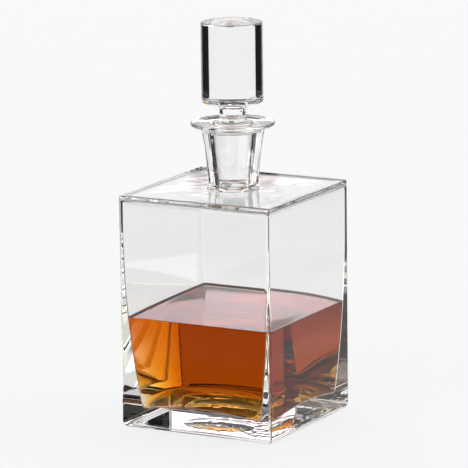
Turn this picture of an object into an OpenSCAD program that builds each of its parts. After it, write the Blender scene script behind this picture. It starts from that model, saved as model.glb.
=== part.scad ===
// Square glass decanter with a solid glass stopper. The whisky in it stands just below half way up.
// All sizes are in millimetres. +Z is up and the origin is the centre of the resting plane.
// The four sides of the body face along X and Y, and the neck and stopper stand on the Z axis.

/* [Body] */
// Width and depth of the square body
body_w = 95; // [85:1:105]
// Height of the flat shoulder above the resting plane
body_h = 133; // [124:1:133]
// Radius of the four upright edges
upright_edge_r = 1.6; // [1:0.1:3.5]
// Radius of the four edges round the base
base_edge_r = 3.4; // [2:0.1:4]
// Radius of the four edges round the shoulder
shoulder_edge_r = 0.8; // [0.6:0.1:3]
// Diameter of the shallow polished hollow under the base
pontil_d = 42; // [30:1:60]
// Depth of the hollow under the base
pontil_depth = 1.8; // [1:0.1:2.5]

/* [Glass thickness] */
// Thickness of the walls near the shoulder
wall_top = 1.8; // [1.5:0.1:3]
// Thickness of the walls where they meet the inside floor
wall_foot = 10; // [7:0.5:12]
// Height at which the walls begin to thicken downwards
wall_swell_z = 110; // [90:1:115]
// Thickness of the base under the corners of the inside floor
floor_t = 9.5; // [8:0.5:14]
// Height of the domed inside floor's middle above its corners
floor_rise = 6; // [2:0.5:8]
// Thickness of the shoulder
shoulder_t = 2.4; // [2:0.2:4]
// Radius of the inside edges round the floor
floor_edge_r = 3; // [2:0.5:6]
// Radius of the inside edges under the shoulder
ceiling_edge_r = 2.5; // [1:0.5:4]

/* [Neck] */
// Height of the lip's upper face above the resting plane
lip_z = 170.6; // [168:0.2:172]
// Outer radius of the lip
lip_r = 23.8; // [21:0.1:26]
// Outer radius of the neck where it leaves the shoulder
neck_foot_r = 14.4; // [13:0.1:15]
// Radius of the long hollow curve up the outside of the neck
neck_curve_r = 150; // [120:5:200]
// Bore radius at the lower end of the ground seat
seat_foot_r = 8.3; // [7:0.1:9]
// Bore radius at the mouth
seat_mouth_r = 11.4; // [11:0.1:12]

/* [Stopper] */
// Radius of the solid round head
head_r = 17.35; // [15:0.05:20]
// Height of the head's flat underside above the resting plane
head_z = 181.8; // [181:0.1:190]
// Height of the head
head_h = 45.3; // [30:0.1:50]
// Radius of the narrow waist between head and plug
waist_r = 7.4; // [6:0.1:7.5]
// Height of the plug's lower end above the resting plane
plug_z = 137.3; // [135:0.1:145]
// Radial gap between the ground plug and its seat
seat_gap = 0.05; // [0.02:0.01:0.1]

/* [Whisky] */
// Height of the whisky's level surface above the resting plane
fill_z = 62.5; // [30:0.5:100]

/* [Hidden] */
$fn = 96;

// Points along each rounded stretch of an outline
arc_steps = 8;
// Overlap that fuses neighbouring solids, and overshoot of a cut past a face
overlap = 0.5;
// Gap that keeps the whisky's solid clear of the glass
whisky_gap = 0.05;

// The walls thicken towards the floor along an arc that is upright at wall_swell_z.
swell_r = pow(wall_swell_z - floor_t, 2) / (2 * (wall_foot - wall_top));
swell_steps = 12;

// The inside floor is part of a sphere that passes through the floor's four corners.
floor_half = body_w / 2 - wall_foot;
dome_r = (2 * pow(floor_half, 2) + pow(floor_rise, 2)) / (2 * floor_rise);

// Lip: a thin round-edged plate with a gently dished upper face, on a flared underside
lip_edge_r = 1;
lip_dish = 0.8;
lip_flare_h = 4.2;

// Ground seat and plug share one taper.
seat_z = 135;
seat_slope = (seat_mouth_r - seat_foot_r) / (lip_z - lip_dish - seat_z);
throat_r = 3.5;

// Stopper roundings and the cove under the head
head_foot_edge_r = 1;
head_top_edge_r = 1;
plug_edge_r = 1.2;
plug_top_edge_r = 0.8;
plug_cove_r = 2.6;
cove_r = 5;

// Points of an arc about [x, z], from angle a0 to a1
function arc(x, z, r, a0, a1) = [
    for (i = [0:arc_steps])
        let (a = a0 + (a1 - a0) * i / arc_steps)
        [x + r * cos(a), z + r * sin(a)]
];

// Wall thickness at height z
function wall_at(z) = wall_top + pow(max(0, wall_swell_z - z), 2) / (2 * swell_r);

// Angle by which the wall leans from upright at height z
function wall_lean(z) = atan(max(0, wall_swell_z - z) / swell_r);

// Bore radius at height z on the ground seat
function seat_r_at(z) = seat_foot_r + seat_slope * (z - seat_z);

// Outer radius of the neck at height z
function neck_r_at(z) = neck_foot_r + pow(z - body_h, 2) / (2 * neck_curve_r);

// An outline's right half from the bottom up, followed by its mirror image back down
function both_sides(right) = concat(
    right,
    [for (i = [len(right) - 1:-1:0]) [-right[i][0], right[i][1]]]
);

// A rectangle about the vertical axis, its lower corners rounded by r0 and its upper ones by r1
module rounded_face(w, h, r0, r1) {
    polygon(both_sides(concat(
        arc(w / 2 - r0, r0, r0, -90, 0),
        arc(w / 2 - r1, h - r1, r1, 0, 90)
    )));
}

// Side outline of the space inside the body, drawn in by gap on every side
module inside_face(gap) {
    r = floor_edge_r;
    foot_z = floor_t + gap;
    top_z = body_h - shoulder_t - gap;
    lean = wall_lean(foot_z + r);
    wall_z0 = foot_z + r - r * sin(lean);
    wall_z1 = top_z - ceiling_edge_r;
    half_w = body_w / 2 - gap;
    polygon(both_sides(concat(
        arc(half_w - wall_at(wall_z0) - r * cos(lean), foot_z + r, r, -90, -lean),
        [
            for (i = [1:swell_steps])
                let (z = wall_z0 + (wall_z1 - wall_z0) * i / (swell_steps + 1))
                [half_w - wall_at(z), z]
        ],
        arc(half_w - wall_top - ceiling_edge_r, wall_z1, ceiling_edge_r, 0, 90)
    )));
}

// Extrudes its outline along Y and along X, and keeps what both hold
module square_turned(w) {
    intersection_for (turn = [0, 90])
        rotate([0, 0, turn])
            rotate([90, 0, 0])
                linear_extrude(height = w, center = true)
                    children();
}

// The body's outer block, rounded along all twelve edges
module block() {
    intersection() {
        square_turned(body_w + 2 * overlap)
            rounded_face(body_w, body_h, base_edge_r, shoulder_edge_r);
        translate([0, 0, -overlap])
            linear_extrude(height = body_h + 2 * overlap)
                translate([0, -body_w / 2])
                    rounded_face(body_w, body_w, upright_edge_r, upright_edge_r);
    }
}

// The space inside the body, drawn in by gap on every side
module inside(gap = 0) {
    difference() {
        square_turned(body_w) inside_face(gap);
        translate([0, 0, floor_t + floor_rise - dome_r])
            sphere(r = dome_r + gap);
    }
}

// Neck and lip, solid, from inside the shoulder up to the dished upper face
module neck() {
    flare_z = lip_z - 2 * lip_edge_r - lip_flare_h;
    flare_r = neck_r_at(flare_z);
    rotate_extrude()
        polygon(concat(
            [[0, body_h - overlap], [neck_foot_r, body_h - overlap]],
            [
                for (i = [0:arc_steps])
                    let (z = body_h + (flare_z - body_h) * i / arc_steps)
                    [neck_r_at(z), z]
            ],
            [
                for (i = [1:arc_steps])
                    let (a = 90 * i / arc_steps)
                    [
                        flare_r + (lip_r - lip_edge_r - flare_r) * (1 - cos(a)),
                        flare_z + lip_flare_h * sin(a)
                    ]
            ],
            arc(lip_r - lip_edge_r, lip_z - lip_edge_r, lip_edge_r, -90, 90),
            [[0, lip_z - lip_dish]]
        ));
}

// Bore through neck and shoulder: a rounded throat, the ground seat and the open mouth
module bore() {
    ceiling_z = body_h - shoulder_t;
    rotate_extrude()
        polygon(concat(
            [[0, ceiling_z - overlap], [seat_foot_r + throat_r, ceiling_z - overlap]],
            arc(seat_foot_r + throat_r, ceiling_z + throat_r, throat_r, -90, -180),
            [
                [seat_foot_r, seat_z],
                [seat_r_at(lip_z + overlap), lip_z + overlap],
                [0, lip_z + overlap]
            ]
        ));
}

// Shallow spherical hollow in the middle of the underside
module pontil() {
    cap_r = (pow(pontil_d / 2, 2) + pow(pontil_depth, 2)) / (2 * pontil_depth);
    translate([0, 0, pontil_depth - cap_r])
        sphere(r = cap_r);
}

module bottle() {
    color([0.86, 0.91, 0.92, 0.4])
        difference() {
            union() {
                block();
                neck();
            }
            inside();
            bore();
            pontil();
        }
}

module stopper() {
    plug_r = seat_r_at(plug_z) - seat_gap;
    plug_top_z = lip_z - plug_top_edge_r;
    plug_top_r = seat_r_at(plug_top_z) - seat_gap;
    color([0.9, 0.94, 0.96, 0.5])
        rotate_extrude()
            polygon(concat(
                [[0, plug_z]],
                arc(plug_r - plug_edge_r, plug_z + plug_edge_r, plug_edge_r, -90, 0),
                arc(plug_top_r - plug_top_edge_r, plug_top_z, plug_top_edge_r, 0, 90),
                arc(waist_r + plug_cove_r, lip_z + plug_cove_r, plug_cove_r, 270, 180),
                arc(waist_r + cove_r, head_z - cove_r, cove_r, 180, 90),
                arc(head_r - head_foot_edge_r, head_z + head_foot_edge_r, head_foot_edge_r, -90, 0),
                arc(head_r - head_top_edge_r, head_z + head_h - head_top_edge_r, head_top_edge_r, 0, 90),
                [[0, head_z + head_h]]
            ));
}

module whisky() {
    color([0.78, 0.38, 0.05, 0.8])
        intersection() {
            inside(whisky_gap);
            translate([-body_w / 2, -body_w / 2, 0])
                cube([body_w, body_w, fill_z]);
        }
}

bottle();
stopper();
whisky();
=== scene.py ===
"""Square glass decanter with a solid stopper, part filled with whisky.

Everything is in metres in the CAD frame. The three CAD solids are replaced by finer meshes:
each is a stack of rings, from one pole to the other, so every mesh is closed.
"""

import math
from collections import namedtuple

import bmesh
import bpy
from mathutils import Matrix, Vector, noise


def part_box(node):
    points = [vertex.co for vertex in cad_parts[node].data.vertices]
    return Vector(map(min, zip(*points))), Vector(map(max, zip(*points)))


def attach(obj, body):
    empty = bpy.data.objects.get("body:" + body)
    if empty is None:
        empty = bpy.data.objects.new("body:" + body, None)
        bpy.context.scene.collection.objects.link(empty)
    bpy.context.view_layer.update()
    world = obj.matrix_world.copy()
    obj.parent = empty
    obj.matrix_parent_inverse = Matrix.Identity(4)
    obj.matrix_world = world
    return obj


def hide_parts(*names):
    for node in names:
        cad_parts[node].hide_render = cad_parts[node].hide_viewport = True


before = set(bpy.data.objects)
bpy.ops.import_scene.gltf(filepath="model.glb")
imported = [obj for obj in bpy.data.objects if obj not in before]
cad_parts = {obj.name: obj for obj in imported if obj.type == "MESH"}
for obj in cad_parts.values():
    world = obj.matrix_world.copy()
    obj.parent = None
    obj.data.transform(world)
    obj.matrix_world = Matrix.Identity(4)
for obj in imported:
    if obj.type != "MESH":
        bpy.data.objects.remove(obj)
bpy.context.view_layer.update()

MM = 0.001

# ---------------------------------------------------------------- sizes, in millimetres

BOTTLE_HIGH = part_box("bottle")[1]
STOPPER_LOW, STOPPER_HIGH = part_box("stopper")
WHISKY_LOW, WHISKY_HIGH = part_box("whisky")

BODY_HALF = BOTTLE_HIGH[0] / MM  # half the width of the square body
LIP_Z = BOTTLE_HIGH[2] / MM
HEAD_R = STOPPER_HIGH[0] / MM
HEAD_TOP_Z = STOPPER_HIGH[2] / MM
PLUG_Z = STOPPER_LOW[2] / MM
FILL_Z = WHISKY_HIGH[2] / MM
WHISKY_GAP = 0.05  # the CAD whisky's clearance from the glass
FLOOR_Z = WHISKY_LOW[2] / MM - WHISKY_GAP  # the corners of the inside floor

SHOULDER_Z = 133.0
UPRIGHT_EDGE_R = 1.6
BASE_EDGE_R = 3.4
SHOULDER_EDGE_R = 0.8
PONTIL_R = 21.0
PONTIL_DEPTH = 1.8

WALL_TOP = 1.8
WALL_FOOT = 10.0
WALL_SWELL_Z = 110.0
SWELL_R = (WALL_SWELL_Z - FLOOR_Z) ** 2 / (2 * (WALL_FOOT - WALL_TOP))
CEILING_Z = 130.6
CEILING_EDGE_R = 2.5
FLOOR_EDGE_R = 3.0
FLOOR_HALF = BODY_HALF - WALL_FOOT
FLOOR_RISE = 6.0  # the domed floor's middle stands this far above its corners
ARCH_FADE_H = 25.0  # the walls follow the floor's arch up to this far above it
INSIDE_CORNER_R = 0.8  # radius of the inside upright corners above the swell of the walls
INSIDE_CORNER_GROWTH = 0.8  # what the corners' radius gains on the way down from there
CEILING_EDGE_CORNER_R = 1.0  # corner radius of the ceiling's rounded edge, where it meets the walls
CEILING_CORNER_R = 0.6  # and where it meets the flat ceiling

LIP_R = 23.8
NECK_FOOT_R = 14.4
NECK_FILLET_R = 1.3
NECK_CURVE_R = 150.0
LIP_EDGE_R = 1.0
LIP_DISH = 0.8
LIP_FLARE_H = 4.2
LIP_LAND = 0.3  # the flat between the lip's rounded edge and the dish round the mouth
SEAT_Z = 135.0
SEAT_FOOT_R = 8.3
SEAT_MOUTH_R = 11.4
SEAT_GAP = 0.05
MOUTH_EDGE_R = 0.7
THROAT_R = 3.5

WAIST_R = 7.4
HEAD_Z = 181.8  # underside of the stopper's head
HEAD_FOOT_EDGE_R = 1.0
HEAD_TOP_EDGE_R = 1.0
PLUG_EDGE_R = 1.2
COVE_R = 5.0
PLUG_TOP_EDGE_R = 0.8
PLUG_TOP_COVE_R = 2.6

WET_OVERLAP = 0.1  # the whisky's skin lies this far inside the glass, so no air shows between them
BASE_RIPPLE = 0.4  # depth of the unevenness under the base's right and back
BASE_RIPPLE_SIZE = 4.2  # breadth of its dimples
BASE_RIPPLE_LEAST = 0.08  # share of it that is left under the base's front left
BASE_RIPPLE_FADE = 3.0  # it fades out over this distance from the rounded edge
WAVE_DEPTH = 0.03  # the slow unevenness of the inside of the walls, and a finer one on it
FINE_WAVE_DEPTH = 0.01
PONTIL_RIPPLE = 0.2
PONTIL_RIPPLE_SIZE = 5.0
CEILING_RIPPLE = 0.15
CEILING_RIPPLE_SIZE = 7.0
MENISCUS_H = 0.9
MENISCUS_W = 2.2
MENISCUS_CORNER_LOSS = 0.8  # what the corners' radius loses per millimetre in from the glass

CORNER_TRIM = 0.4  # share of an upright corner's radius that is left beyond a rolled edge
OCTANT_POINTS = 26
RING_POINTS = 8 * OCTANT_POINTS
SQUARING = 1.5  # power by which a flat face's rings turn from circles into squares
CORNER_CROWDING = 3.6  # how strongly a square ring's points gather at its corners
WALL_RING_GAP = 0.6  # distance between rings on the curved inside of the walls
SUPPORT = 0.35  # distance of the ring that keeps a flat face's shading flat beside a rounding


# ---------------------------------------------------------------- outlines and rings


def arc(x, z, r, a0, a1, steps=8):
    """Points (x, z) along an arc about (x, z), from angle a0 to a1 in degrees."""
    angles = [math.radians(a0 + (a1 - a0) * i / steps) for i in range(steps + 1)]
    return [(x + r * math.cos(a), z + r * math.sin(a)) for a in angles]


def octant_offset(share, squareness):
    """Angle from the diagonal for a share of an octant, crowded near the corner on square rings."""
    crowded = math.sinh(CORNER_CROWDING * share) / math.sinh(CORNER_CROWDING)
    return math.radians(45) * (share + (crowded - share) * squareness)


def square_radius(angle, half, corner):
    """Distance from the axis to a rounded square's outline.

    The angle is counted from the middle of its nearest flat side.
    """
    across, along = math.cos(angle), math.sin(angle)
    core = half - corner
    if half * along <= core * across:
        return half / across
    total = across + along
    return core * total + math.sqrt(max(0.0, corner**2 - core**2 * (2 - total**2)))


def ring(half, corner, z):
    """RING_POINTS points of a rounded square, or of a circle where corner equals half.

    z may be a function of (x, y).
    """
    squareness = 1 - corner / half
    points = []
    for quadrant in range(4):
        diagonal = math.radians(45 + 90 * quadrant)
        for i in range(-OCTANT_POINTS, OCTANT_POINTS):
            share = abs(i) / OCTANT_POINTS
            offset = octant_offset(share, squareness)
            r = square_radius(math.radians(45) - offset, half, corner)
            angle = diagonal + math.copysign(offset, i)
            x, y = r * math.cos(angle), r * math.sin(angle)
            points.append((x, y, z(x, y) if callable(z) else z))
    return points


def circle(r, z):
    return ring(r, r, z)


def lathe(outline):
    """Rings for an outline of (radius, z) points. A point on the axis becomes a pole."""
    return [(0, 0, z) if r < 1e-6 else circle(r, z) for r, z in outline]


def smooth_object(name, rings, body, node, bands):
    """A closed smooth mesh through rings, first and last of them poles, that stands for a CAD node.

    Each band is the number of its first ring and its material.
    """
    mesh = bmesh.new()
    rows = []
    for points in rings:
        if isinstance(points, tuple):
            rows.append(mesh.verts.new(Vector(points) * MM))
        else:
            rows.append([mesh.verts.new(Vector(p) * MM) for p in points])
    for number, (low, high) in enumerate(zip(rows, rows[1:])):
        for i in range(RING_POINTS):
            j = (i + 1) % RING_POINTS
            if not isinstance(low, list):
                face = mesh.faces.new((low, high[j], high[i]))
            elif not isinstance(high, list):
                face = mesh.faces.new((low[i], low[j], high))
            else:
                face = mesh.faces.new((low[i], low[j], high[j], high[i]))
            face.material_index = sum(number >= first for first, _ in bands) - 1
    bmesh.ops.recalc_face_normals(mesh, faces=mesh.faces)
    data = bpy.data.meshes.new(name)
    mesh.to_mesh(data)
    mesh.free()
    data.polygons.foreach_set("use_smooth", [True] * len(data.polygons))
    for _, material in bands:
        data.materials.append(material)
    piece = bpy.data.objects.new(name, data)
    bpy.context.scene.collection.objects.link(piece)
    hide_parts(node)
    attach(piece, body)


# ---------------------------------------------------------------- bottle


def wall_at(z):
    """Wall thickness at height z: thin near the shoulder, swelling towards the base."""
    return WALL_TOP + max(0.0, WALL_SWELL_Z - z) ** 2 / (2 * SWELL_R)


def inside_corner(z):
    """Radius of the inside upright corners at height z."""
    return INSIDE_CORNER_R + INSIDE_CORNER_GROWTH * max(0.0, 1 - z / WALL_SWELL_Z)


def floor_lift(x, y):
    """How far the domed floor stands above its corners at a point."""
    return FLOOR_RISE * max(0.0, 1 - (x * x + y * y) / (2 * FLOOR_HALF**2))


def arched(points):
    """Raises a ring near the floor as the floor's arch does where it meets the walls."""
    lifted = []
    for x, y, z in points:
        share = min(1.0, max(0.0, 1 - (z - FLOOR_Z) / ARCH_FADE_H))
        lifted.append((x, y, z + floor_lift(x, y) * share**2))
    return lifted


def ripple(x, y, size, depth):
    """Height, from 0 to depth, of an uneven face whose dimples are about size across."""
    return depth * (0.5 + 0.5 * noise.noise(Vector((x, y, 0)) / size))


def wave(x, y, z):
    """The slow unevenness of an inside face that cooled against air, in millimetres."""
    return (
        WAVE_DEPTH * math.sin(0.05 * z + 0.04 * x + 1.3) * math.sin(0.06 * y + 0.4)
        + FINE_WAVE_DEPTH * math.sin(0.08 * z - 0.05 * y + 0.6)
    )


def wavy(points, amount=1.0):
    """Pushes a ring's points in or out by the inside faces' unevenness."""
    moved = []
    for x, y, z in points:
        push = 1 + amount * wave(x, y, z) / math.hypot(x, y)
        moved.append((x * push, y * push, z))
    return moved


def neck_r_at(z):
    return NECK_FOOT_R + (z - SHOULDER_Z) ** 2 / (2 * NECK_CURVE_R)


def seat_r_at(z):
    slope = (SEAT_MOUTH_R - SEAT_FOOT_R) / (LIP_Z - LIP_DISH - SEAT_Z)
    return SEAT_FOOT_R + slope * (z - SEAT_Z)


def underside_rings():
    """From the middle of the hollow under the base to the resting face's outer border."""
    cap_r = (PONTIL_R**2 + PONTIL_DEPTH**2) / (2 * PONTIL_DEPTH)
    outer_half = BODY_HALF - BASE_EDGE_R
    outer_corner = UPRIGHT_EDGE_R * CORNER_TRIM

    def hollow(x, y):
        cap_z = PONTIL_DEPTH - cap_r + math.sqrt(cap_r**2 - x * x - y * y)
        return cap_z + ripple(x, y, PONTIL_RIPPLE_SIZE, PONTIL_RIPPLE)

    def resting(x, y):
        edge = min(1.0, (outer_half - max(abs(x), abs(y))) / BASE_RIPPLE_FADE)
        side = min(1.0, max(BASE_RIPPLE_LEAST, (x + y) / BODY_HALF))
        return edge * side * ripple(x, y, BASE_RIPPLE_SIZE, BASE_RIPPLE)

    rings = [(0, 0, hollow(0, 0))]
    for i in range(1, 15):
        rings.append(circle((PONTIL_R - SUPPORT) * i / 14, hollow))
    steps = 22
    for i in range(steps + 1):
        share = i / steps
        half = PONTIL_R + SUPPORT + (outer_half - SUPPORT - PONTIL_R) * share
        corner = half * (1 - share) ** SQUARING + outer_corner * share
        rings.append(ring(half, min(corner, half), resting))
    return rings[:-1] + [ring(outer_half - SUPPORT / 2, outer_corner, 0)]


def edge_rings(r, z, a0, a1):
    """The rolled edge round the base or the shoulder, of radius r, its arc centred at height z."""
    rings = []
    for x, height in arc(BODY_HALF - r, z, r, a0, a1):
        inset = BODY_HALF - x
        rings.append(ring(x, UPRIGHT_EDGE_R * (1 - (1 - CORNER_TRIM) * inset / r), height))
    return rings


def side_rings():
    z0, z1 = BASE_EDGE_R + SUPPORT, SHOULDER_Z - SHOULDER_EDGE_R - SUPPORT
    return [ring(BODY_HALF, UPRIGHT_EDGE_R, z0 + (z1 - z0) * i / 6) for i in range(7)]


def shoulder_rings():
    """The flat shoulder, from its rolled edge in to the foot of the neck."""
    outer_half = BODY_HALF - SHOULDER_EDGE_R - SUPPORT
    outer_corner = UPRIGHT_EDGE_R * CORNER_TRIM
    inner_r = NECK_FOOT_R + NECK_FILLET_R
    rings = []
    for i in range(9):
        share = i / 9
        half = outer_half + (inner_r + SUPPORT - outer_half) * share
        corner = outer_corner * (1 - share) + half * share**SQUARING
        rings.append(ring(half, min(corner, half), SHOULDER_Z))
    rings.append(circle(inner_r + SUPPORT, SHOULDER_Z))
    return rings


def neck_outline():
    """Outside of the neck, lip and mouth, then down the ground seat and the throat."""
    flare_z = LIP_Z - 2 * LIP_EDGE_R - LIP_FLARE_H
    flare_r = neck_r_at(flare_z)
    fillet_z = SHOULDER_Z + NECK_FILLET_R
    outline = arc(NECK_FOOT_R + NECK_FILLET_R, fillet_z, NECK_FILLET_R, -90, -180, 6)
    for i in range(1, 17):
        z = fillet_z + (flare_z - fillet_z) * i / 16
        outline.append((neck_r_at(z), z))
    for i in range(1, 13):
        a = math.radians(90 * i / 12)
        r = flare_r + (LIP_R - LIP_EDGE_R - flare_r) * (1 - math.cos(a))
        outline.append((r, flare_z + LIP_FLARE_H * math.sin(a)))
    outline += arc(LIP_R - LIP_EDGE_R, LIP_Z - LIP_EDGE_R, LIP_EDGE_R, -80, 100, 10)
    mouth_z = LIP_Z - LIP_DISH
    mouth_r = seat_r_at(mouth_z) + MOUTH_EDGE_R
    rim_r = LIP_R - LIP_EDGE_R - LIP_LAND
    for i in range(1, 5):
        share = i / 5
        dip = LIP_DISH * math.sin(math.radians(90 * share))
        outline.append((rim_r + (mouth_r - rim_r) * share, LIP_Z - dip))
    outline += arc(mouth_r, mouth_z - MOUTH_EDGE_R, MOUTH_EDGE_R, 90, 180, 5)
    for i in range(1, 9):
        z = mouth_z - MOUTH_EDGE_R + (SEAT_Z - mouth_z + MOUTH_EDGE_R) * i / 8
        outline.append((seat_r_at(z), z))
    outline += arc(SEAT_FOOT_R + THROAT_R, CEILING_Z + THROAT_R, THROAT_R, 180, 270, 8)
    return outline


def ceiling_rings():
    """Underside of the shoulder, from the throat out to the upper inside edge."""
    inner_r = SEAT_FOOT_R + THROAT_R
    outer_half = BODY_HALF - WALL_TOP - CEILING_EDGE_R
    rings = []
    steps = 24
    for i in range(1, steps):
        share = i / steps
        half = inner_r + (outer_half - inner_r) * share
        corner = half * (1 - share) ** SQUARING + CEILING_CORNER_R * share
        # The ripple fades out towards the throat and towards the walls.
        depth = CEILING_RIPPLE * min(1.0, 8 * share) * (1 - share) ** 2

        def uneven(x, y):
            return CEILING_Z - ripple(x, y, CEILING_RIPPLE_SIZE, depth)

        rings.append(ring(half, min(corner, half), uneven))
    return rings


def wall_rings(z0, z1, grow=0.0):
    """Inside faces of the walls from z0 down to just short of z1, pushed into the glass by grow."""
    steps = math.ceil((z0 - z1) / WALL_RING_GAP)
    rings = []
    for i in range(steps):
        z = z0 + (z1 - z0) * i / steps
        rings.append(arched(wavy(ring(BODY_HALF - wall_at(z) + grow, inside_corner(z), z))))
    return rings


def foot_rings(top_z, grow=0.0):
    """Inside faces from top_z down to the floor's middle, pushed into the glass by grow."""
    r = FLOOR_EDGE_R
    lean = math.degrees(math.atan((WALL_SWELL_Z - FLOOR_Z - r) / SWELL_R))
    wall_z0 = FLOOR_Z + r - r * math.sin(math.radians(lean))
    rings = wall_rings(top_z, wall_z0, grow)
    half0 = BODY_HALF - wall_at(wall_z0)
    centre_x = half0 - r * math.cos(math.radians(lean))
    for x, z in arc(centre_x, FLOOR_Z + r, r + grow, -lean, -90, 8):
        depth = (half0 + grow - x) / r
        rings.append(arched(wavy(ring(x, inside_corner(z) * (1 - (1 - CORNER_TRIM) * depth), z))))
    corner_end = inside_corner(FLOOR_Z) * CORNER_TRIM
    for i in range(1, 13):
        share = 1 - i / 13
        half = centre_x * share
        corner = corner_end * share + half * (1 - share)
        rings.append(ring(half, min(corner, half), lambda x, y: FLOOR_Z - grow + floor_lift(x, y)))
    rings.append((0, 0, FLOOR_Z - grow + FLOOR_RISE))
    return rings


def build_bottle(dry, wet):
    z_wall_top = CEILING_Z - CEILING_EDGE_R
    edge_x = BODY_HALF - WALL_TOP - CEILING_EDGE_R
    ceiling_edge = []
    for x, z in arc(edge_x, z_wall_top, CEILING_EDGE_R, 90, 0, 8)[:-1]:
        depth = (BODY_HALF - WALL_TOP - x) / CEILING_EDGE_R
        corner = CEILING_EDGE_CORNER_R - (CEILING_EDGE_CORNER_R - CEILING_CORNER_R) * depth
        ceiling_edge.append(ring(x, corner, z))
    dry_rings = (
        underside_rings()
        + edge_rings(BASE_EDGE_R, BASE_EDGE_R, -90, 0)
        + side_rings()
        + edge_rings(SHOULDER_EDGE_R, SHOULDER_Z - SHOULDER_EDGE_R, 0, 90)
        + shoulder_rings()
        + lathe(neck_outline())
        + ceiling_rings()
        + ceiling_edge
        + wall_rings(z_wall_top, FILL_Z + MENISCUS_H)
    )
    smooth_object(
        "bottle_glass",
        dry_rings + foot_rings(FILL_Z + MENISCUS_H),
        "decanter",
        "bottle",
        ((0, dry), (len(dry_rings), wet)),
    )


# ---------------------------------------------------------------- stopper


def build_stopper(material):
    plug_r = seat_r_at(PLUG_Z) - SEAT_GAP
    outline = [(0, PLUG_Z), (plug_r * 0.5, PLUG_Z), (plug_r - PLUG_EDGE_R - SUPPORT, PLUG_Z)]
    outline += arc(plug_r - PLUG_EDGE_R, PLUG_Z + PLUG_EDGE_R, PLUG_EDGE_R, -90, 0, 6)
    plug_top_z = LIP_Z - PLUG_TOP_EDGE_R
    for i in range(1, 9):
        z = PLUG_Z + PLUG_EDGE_R + (plug_top_z - PLUG_Z - PLUG_EDGE_R) * i / 8
        outline.append((seat_r_at(z) - SEAT_GAP, z))
    edge_x = seat_r_at(plug_top_z) - SEAT_GAP - PLUG_TOP_EDGE_R
    outline += arc(edge_x, plug_top_z, PLUG_TOP_EDGE_R, 15, 80, 5)
    cove_x = WAIST_R + PLUG_TOP_COVE_R
    outline += arc(cove_x, LIP_Z + PLUG_TOP_COVE_R, PLUG_TOP_COVE_R, 270, 180, 8)
    cove_z = HEAD_Z - COVE_R
    outline += arc(WAIST_R + COVE_R, cove_z, COVE_R, 180, 90, 10)
    foot_x = HEAD_R - HEAD_FOOT_EDGE_R
    outline.append((foot_x - SUPPORT / 2, HEAD_Z))
    outline += arc(foot_x, HEAD_Z + HEAD_FOOT_EDGE_R, HEAD_FOOT_EDGE_R, -90, 0, 10)
    top_x = HEAD_R - HEAD_TOP_EDGE_R
    top_edge_z = HEAD_TOP_Z - HEAD_TOP_EDGE_R
    z0, z1 = HEAD_Z + HEAD_FOOT_EDGE_R + SUPPORT, top_edge_z - SUPPORT
    outline += [(HEAD_R, z0 + (z1 - z0) * i / 6) for i in range(7)]
    outline += arc(top_x, top_edge_z, HEAD_TOP_EDGE_R, 0, 90, 8)
    outline += [(top_x - SUPPORT, HEAD_TOP_Z), (top_x * 0.6, HEAD_TOP_Z), (top_x * 0.3, HEAD_TOP_Z)]
    outline.append((0, HEAD_TOP_Z))
    smooth_object(
        "stopper_glass", lathe(outline), "stopper", "stopper", ((0, material),)
    )


# ---------------------------------------------------------------- whisky


def build_whisky(surface, wetting):
    """The liquid, with a level top that climbs a little where it meets the glass."""
    rim_z = FILL_Z + MENISCUS_H
    half = BODY_HALF - wall_at(FILL_Z) + WET_OVERLAP
    corner = inside_corner(FILL_Z)
    rings = [(0, 0, FILL_Z)]
    for share in (0.25, 0.5, 0.75, 0.92):
        r = share * (half - MENISCUS_W)
        rings.append(ring(r, r + (corner - MENISCUS_W - r) * share**2, FILL_Z))
    for i in range(9):
        share = i / 8
        inset = MENISCUS_W * (1 - share)
        z = FILL_Z + MENISCUS_H * share**2.5
        edge = ring(half - inset, corner - inset * MENISCUS_CORNER_LOSS, z)
        rings.append(wavy(edge, share))
    surface_rings = len(rings)
    rings += foot_rings(rim_z, WET_OVERLAP)
    smooth_object(
        "whisky_liquid",
        rings,
        "decanter",
        "whisky",
        ((0, surface), (surface_rings, wetting)),
    )


# ---------------------------------------------------------------- materials

GLASS_IOR = 1.52
BOTTLE_TINT = (0.995, 0.998, 0.996)
BOTTLE_STRIAE = (30, 30, 6)  # how fine the faint streaks in the glass are along x, y and z
STOPPER_TINT = (0.997, 0.998, 0.998)
STOPPER_STRIAE = (45, 45, 12)
WHISKY_IOR = 1.36
WHISKY_COLOUR = (0.872, 0.633, 0.0)  # what its depth lets through
WHISKY_DENSITY = 90.0
# Where whisky wets the glass the two refractive indices are close, so hardly anything is mirrored.
WET_MIRROR = 0.05


def new_material(name):
    material = bpy.data.materials.new(name)
    material.use_nodes = True
    return material, material.node_tree, material.node_tree.nodes["Principled BSDF"]


def add(tree, kind, **inputs):
    """A new node with its input sockets set by name, with underscores for spaces."""
    node = tree.nodes.new(kind)
    for name, value in inputs.items():
        node.inputs[name.replace("_", " ")].default_value = value
    return node


def add_math(tree, operation, *values):
    """A Math node's output. Each value is a number or another node's output."""
    node = tree.nodes.new("ShaderNodeMath")
    node.operation = operation
    for socket, value in zip(node.inputs, values):
        if isinstance(value, (int, float)):
            socket.default_value = value
        else:
            tree.links.new(value, socket)
    return node.outputs[0]


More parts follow.
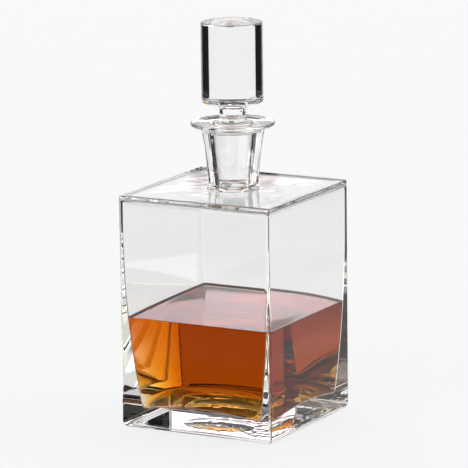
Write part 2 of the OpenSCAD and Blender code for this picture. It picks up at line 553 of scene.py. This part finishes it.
def glass_material(name, tint, striae_scale, mirror=1.0):
    """Polished clear glass with faint upright striae and a trace of handling marks.

    mirror scales the weak mirror image of a face; total reflection stays whole.
    """
    material, tree, shader = new_material(name)
    shader.inputs["Base Color"].default_value = (*tint, 1)
    shader.inputs["Transmission Weight"].default_value = 1.0
    shader.inputs["IOR"].default_value = GLASS_IOR
    shader.inputs["Specular Tint"].default_value = (mirror, mirror, mirror, 1)
    place = add(tree, "ShaderNodeTexCoord")
    stretch = add(tree, "ShaderNodeMapping", Scale=striae_scale)
    striae = add(tree, "ShaderNodeTexNoise", Scale=1.0, Detail=2.0, Roughness=0.4)
    bump = add(tree, "ShaderNodeBump", Strength=0.03, Distance=0.0004)
    marks = add(tree, "ShaderNodeTexNoise", Scale=90.0, Detail=6.0, Roughness=0.7)
    gloss = add(tree, "ShaderNodeMapRange", From_Min=0.62, From_Max=0.80, To_Min=0.0, To_Max=0.05)
    tree.links.new(place.outputs["Object"], stretch.inputs["Vector"])
    tree.links.new(stretch.outputs["Vector"], striae.inputs["Vector"])
    tree.links.new(striae.outputs["Fac"], bump.inputs["Height"])
    tree.links.new(bump.outputs["Normal"], shader.inputs["Normal"])
    tree.links.new(place.outputs["Object"], marks.inputs["Vector"])
    tree.links.new(marks.outputs["Fac"], gloss.inputs["Value"])
    tree.links.new(gloss.outputs["Result"], shader.inputs["Roughness"])
    return material


def whisky_material(name, mirror=1.0):
    """Clear amber liquid, coloured by what it absorbs. mirror is as for the glass."""
    material, tree, shader = new_material(name)
    shader.inputs["Base Color"].default_value = (1.0, 0.99, 0.97, 1)
    shader.inputs["Transmission Weight"].default_value = 1.0
    shader.inputs["IOR"].default_value = WHISKY_IOR
    shader.inputs["Roughness"].default_value = 0.0
    shader.inputs["Specular Tint"].default_value = (mirror, mirror, mirror, 1)
    absorb = add(
        tree, "ShaderNodeVolumeAbsorption", Color=(*WHISKY_COLOUR, 1), Density=WHISKY_DENSITY
    )
    output = tree.nodes["Material Output"]
    tree.links.new(absorb.outputs["Volume"], output.inputs["Volume"])
    return material


# ---------------------------------------------------------------- studio and camera

WHITE = 0.94  # light of the studio's walls and of the plain background
CAMERA_AZIMUTH = math.radians(28.72)
CAMERA_ELEVATION = math.radians(11.55)
CAMERA_ROLL = math.radians(-0.72)
BODY_WIDTH = 2 * BODY_HALF * MM
CAMERA_DISTANCE = 24.28 * BODY_WIDTH
AIM_Z = 1.2 * BODY_WIDTH
LENS = 315.8
SENSOR = 36.0
SHIFT_Y = -0.029
LIGHT_BOUNCES = 32
GLOSSY_BOUNCES = 16
FLOOR_RADIUS = 8.0
FLOOR_GREY = 0.4
FLOOR_GLOW = 0.805  # what the floor adds by itself, so that it is as white as the background
FLOOR_GLOW_COLOUR = (0.985, 1.0, 1.015)  # makes up for the warm flags' light on it


def build_camera():
    data = bpy.data.cameras.new("camera")
    data.lens = LENS
    data.sensor_width = SENSOR
    data.clip_start = 0.05
    data.clip_end = 100
    data.shift_y = SHIFT_Y
    sin_a, cos_a = math.sin(CAMERA_AZIMUTH), math.cos(CAMERA_AZIMUTH)
    sin_e, cos_e = math.sin(CAMERA_ELEVATION), math.cos(CAMERA_ELEVATION)
    back = Vector((sin_a * cos_e, -cos_a * cos_e, sin_e))
    level = Vector((cos_a, sin_a, 0))
    upright = back.cross(level)
    right = level * math.cos(CAMERA_ROLL) + upright * math.sin(CAMERA_ROLL)
    up = upright * math.cos(CAMERA_ROLL) - level * math.sin(CAMERA_ROLL)
    camera = bpy.data.objects.new("camera", data)
    turn = Matrix((right, up, back)).transposed()
    place = Vector((0, 0, AIM_Z)) + back * CAMERA_DISTANCE
    camera.matrix_world = Matrix.Translation(place) @ turn.to_4x4()
    bpy.context.scene.collection.objects.link(camera)
    bpy.context.scene.camera = camera


def build_floor():
    mesh = bmesh.new()
    bmesh.ops.create_circle(mesh, cap_ends=True, segments=96, radius=FLOOR_RADIUS)
    data = bpy.data.meshes.new("studio_floor")
    mesh.to_mesh(data)
    mesh.free()
    floor = bpy.data.objects.new("studio_floor", data)
    material, tree, shader = new_material("studio_floor")
    shader.inputs["Base Color"].default_value = (FLOOR_GREY, FLOOR_GREY, FLOOR_GREY, 1)
    shader.inputs["Roughness"].default_value = 0.9
    shader.inputs["Emission Color"].default_value = (*FLOOR_GLOW_COLOUR, 1)
    shader.inputs["Emission Strength"].default_value = FLOOR_GLOW
    data.materials.append(material)
    bpy.context.scene.collection.objects.link(floor)
    floor.visible_transmission = False
    floor.visible_glossy = False


# What the glass sees round it, by direction. Bearings are in degrees: azimuth 0 looks along +Y
# and 90 along -X, elevation is up from level. Each flag is a soft-edged rectangle of light or dark,
# laid over those before it, and white unless it has a tint.
Flag = namedtuple(
    "Flag", "azimuth elevation half_width half_height softness light tint", defaults=(None,)
)
FLAGS = (
    Flag(151.0, -12.0, 18.0, 5.0, 6.0, 0.03),  # dark card in front of the left face
    Flag(151.0, 14.0, 18.0, 5.0, 3.0, 0.03),  # dark card that the base's right side mirrors
    Flag(151.0, -35.0, 24.0, 16.0, 4.0, 1.05),  # bright strip that lights the whisky's right side
    Flag(140.0, -39.0, 14.0, 6.0, 2.0, 0.02),  # dark card that the underside of the lip shows
    Flag(208.0, -8.4, 76.0, 1.8, 0.8, 0.05),  # dark band in front, level with neck and stopper
    # The dark room behind the camera, a lamp in it that lights the whisky from above, and a pale
    # strip for the whisky's back edges
    Flag(235.0, 22.0, 40.0, 18.0, 4.0, 0.02),
    Flag(210.0, 57.5, 25.0, 12.5, 3.0, 0.0),
    Flag(218.0, 28.0, 7.0, 5.0, 2.0, 2.0),
    Flag(176.0, 35.0, 41.0, 4.5, 2.0, 0.9),
    # Black cards left and right of the camera's view, clear of every straight view
    Flag(99.0, -24.0, 32.0, 15.7, 1.0, 0.01),
    Flag(99.0, 17.0, 32.0, 13.0, 2.0, 0.01),
    Flag(-41.0, -23.0, 32.0, 16.5, 2.0, 0.01),
    Flag(-25.0, 13.5, 15.5, 9.5, 2.0, 0.01),
    Flag(115.5, -2.0, 15.5, 7.0, 1.5, 0.01),
    Flag(76.0, -2.0, 7.0, 7.0, 1.5, 0.01),
    Flag(-35.0, -1.0, 25.0, 6.0, 1.5, 0.01),
    Flag(31.5, -48.0, 33.5, 15.0, 2.0, 0.05),  # dark card low down behind, for the lip's lines
    Flag(-33.0, -43.0, 31.0, 30.0, 2.0, 2.0),  # bright sheet that lights the whisky's left side
    Flag(-20.0, -24.0, 6.0, 12.0, 1.0, 0.75),  # grey card that the left wall shows
    Flag(-41.5, -30.0, 5.5, 4.5, 1.0, 0.2),  # dark card that the base's left corner shows
    # Dark cards that draw the neck's sides
    Flag(-39.0, -17.0, 6.5, 4.0, 1.0, 0.02),
    Flag(-13.0, -13.0, 4.0, 3.5, 1.0, 0.02),
    Flag(64.0, -14.5, 3.0, 2.5, 0.5, 0.01),
    Flag(60.0, -5.0, 5.0, 2.5, 1.0, 0.01),
    # Dark cards that draw the lip
    Flag(26.0, -25.5, 5.0, 6.0, 1.0, 0.1),
    Flag(-13.0, -52.0, 5.0, 5.0, 1.0, 0.05),
    Flag(164.0, -54.0, 6.0, 4.0, 1.0, 0.05),
    Flag(-26.0, -14.4, 9.0, 3.5, 0.8, 0.65),  # pale strip that the right face mirrors
    Flag(28.7, 10.85, 0.6, 0.25, 0.2, 0.0),  # narrow card that darkens the shoulder below the neck
    Flag(57.0, 55.0, 14.0, 8.0, 3.0, 0.8),  # pale sheet that softens the shoulder's front edge
    Flag(28.7, 22.0, 20.0, 7.0, 1.5, 0.15),  # grey cards that the whisky's floor mirrors
    Flag(28.7, 36.0, 20.0, 8.0, 3.0, 0.35),
    # Warm strip that the whisky's surface mirrors, and warm sheet seen low in its left side
    Flag(28.7, 13.0, 14.0, 1.5, 0.4, 3.0, (1.0, 0.78, 0.81)),
    Flag(-55.0, 40.0, 17.0, 17.0, 4.0, 1.3, (1.0, 0.6, 0.14)),
)
CEILING_LIGHT = 0.12
CEILING_SPREAD = 55.0  # it reaches this far from straight up, in degrees
CEILING_SOFTNESS = 16.0


def soft_span(tree, angle, centre, half, softness):
    """1 where angle lies within half of centre, falling to 0 over the softness, all in degrees."""
    shifted = add_math(tree, "SUBTRACT", angle, math.radians(centre))
    wrapped = add_math(tree, "WRAP", shifted, math.pi, -math.pi)
    away = add_math(tree, "ABSOLUTE", wrapped)
    fade = add(
        tree,
        "ShaderNodeMapRange",
        From_Min=math.radians(half + softness / 2),
        From_Max=math.radians(half - softness / 2),
    )
    fade.interpolation_type = "SMOOTHSTEP"
    tree.links.new(away, fade.inputs["Value"])
    return fade.outputs["Result"]


def build_world():
    """A white studio with a dim ceiling and the flags, behind a plain pale background."""
    world = bpy.data.worlds.new("studio")
    world.use_nodes = True
    tree = world.node_tree
    background = tree.nodes["Background"]
    direction = tree.nodes.new("ShaderNodeTexCoord")
    parts = tree.nodes.new("ShaderNodeSeparateXYZ")
    tree.links.new(direction.outputs["Generated"], parts.inputs[0])
    west = add_math(tree, "MULTIPLY", parts.outputs["X"], -1.0)
    azimuth = add_math(tree, "ARCTAN2", west, parts.outputs["Y"])
    elevation = add_math(tree, "ARCSINE", parts.outputs["Z"])
    ceiling = soft_span(tree, elevation, 90.0, CEILING_SPREAD, CEILING_SOFTNESS)
    light = add_math(tree, "MULTIPLY_ADD", ceiling, CEILING_LIGHT - WHITE, WHITE)
    colour = None
    for flag in FLAGS:
        across = soft_span(tree, azimuth, flag.azimuth, flag.half_width, flag.softness)
        up = soft_span(tree, elevation, flag.elevation, flag.half_height, flag.softness)
        share = add_math(tree, "MULTIPLY", across, up)
        change = add_math(tree, "SUBTRACT", flag.light, light)
        light = add_math(tree, "MULTIPLY_ADD", share, change, light)
        if flag.tint:
            mix = add(tree, "ShaderNodeMixRGB", Color1=(1, 1, 1, 1), Color2=(*flag.tint, 1))
            tree.links.new(share, mix.inputs["Fac"])
            if colour is not None:
                tree.links.new(colour, mix.inputs["Color1"])
            colour = mix.outputs["Color"]
    seen = tree.nodes.new("ShaderNodeLightPath").outputs["Is Camera Ray"]
    change = add_math(tree, "SUBTRACT", WHITE, light)
    light = add_math(tree, "MULTIPLY_ADD", seen, change, light)
    tree.links.new(light, background.inputs["Strength"])
    tree.links.new(colour, background.inputs["Color"])
    bpy.context.scene.world = world


def main():
    scene = bpy.context.scene
    scene.view_settings.view_transform = "Standard"
    scene.cycles.max_bounces = LIGHT_BOUNCES
    scene.cycles.transmission_bounces = LIGHT_BOUNCES
    scene.cycles.glossy_bounces = GLOSSY_BOUNCES
    build_bottle(
        glass_material("bottle_glass", BOTTLE_TINT, BOTTLE_STRIAE),
        glass_material("bottle_glass_wet", BOTTLE_TINT, BOTTLE_STRIAE, WET_MIRROR),
    )
    build_stopper(glass_material("stopper_glass", STOPPER_TINT, STOPPER_STRIAE))
    build_whisky(whisky_material("whisky_surface"), whisky_material("whisky_body", WET_MIRROR))
    build_camera()
    build_floor()
    build_world()


main()
